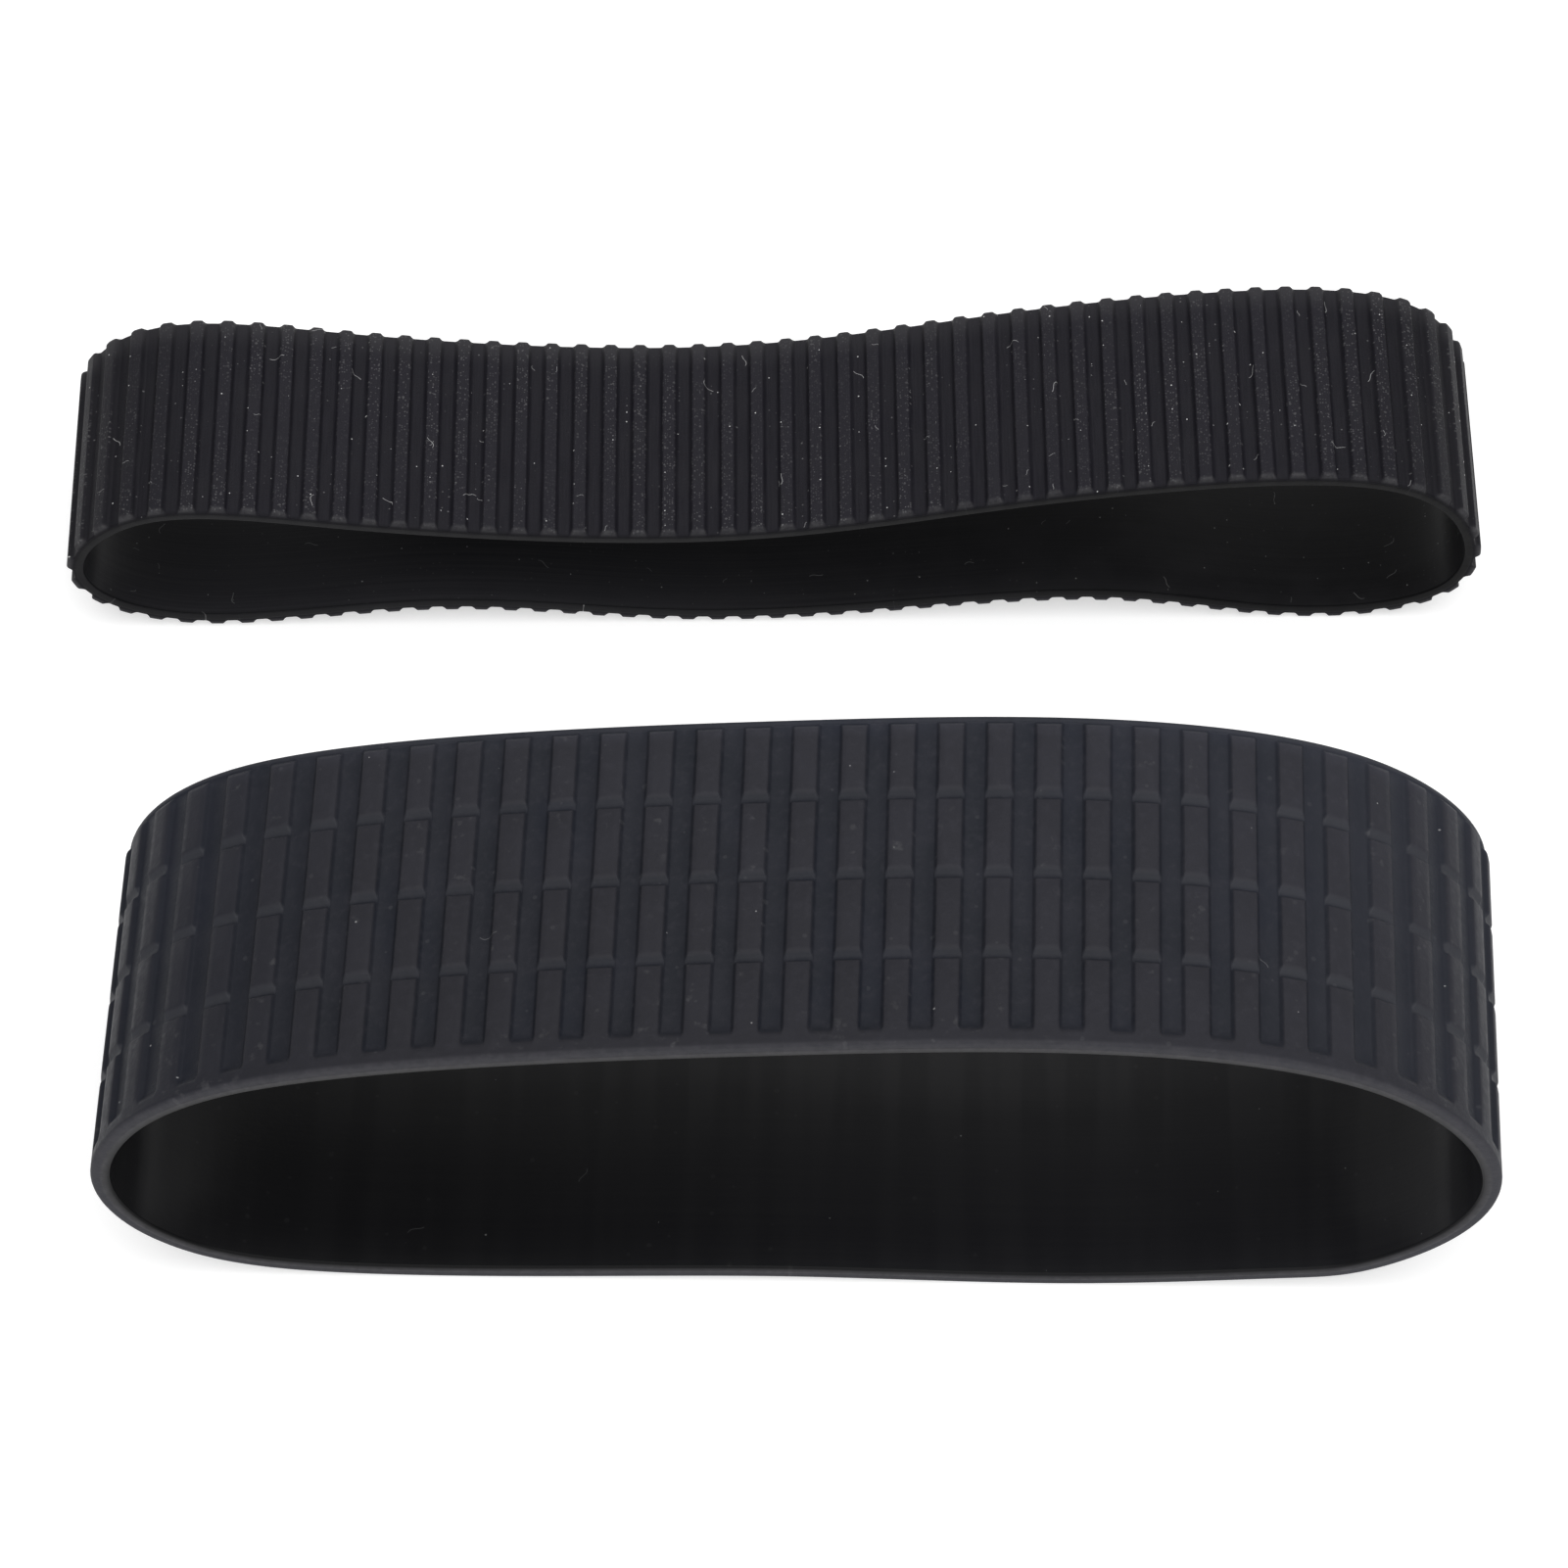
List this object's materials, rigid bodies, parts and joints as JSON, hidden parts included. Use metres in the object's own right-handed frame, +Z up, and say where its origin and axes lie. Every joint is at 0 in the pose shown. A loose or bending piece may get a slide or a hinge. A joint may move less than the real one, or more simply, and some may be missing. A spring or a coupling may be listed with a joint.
{
  "type": "pair of lens grip rings",
  "caption": "Loose ribbed rubber grip rings for a zoom lens: a narrow focus grip and a wide zoom grip, each sagging into a flat loop as it lies on its side.",
  "frame": {"origin": "centre of the pair's footprint, on the table", "axes": "+X along the long side of the sagging loops, +Y along the rings' own axes from the zoom grip to the focus grip, +Z up"},
  "size_m": [0.1186, 0.0868, 0.0347],
  "materials": {
    "focus_rubber": "matt moulded, lightly dusty",
    "zoom_rubber": "matt moulded"
  },
  "bodies": {
    "zoom_grip": {"zoom_grip_ring": "zoom_rubber"},
    "focus_grip": {"focus_grip_ring": "focus_rubber"}
  },
  "joints": [
    {"name": "focus_grip_slide", "type": "slide", "parent": "zoom_grip", "child": "focus_grip", "axis": [0, 1, 0], "range_m": [0, 0.12]}
  ]
}
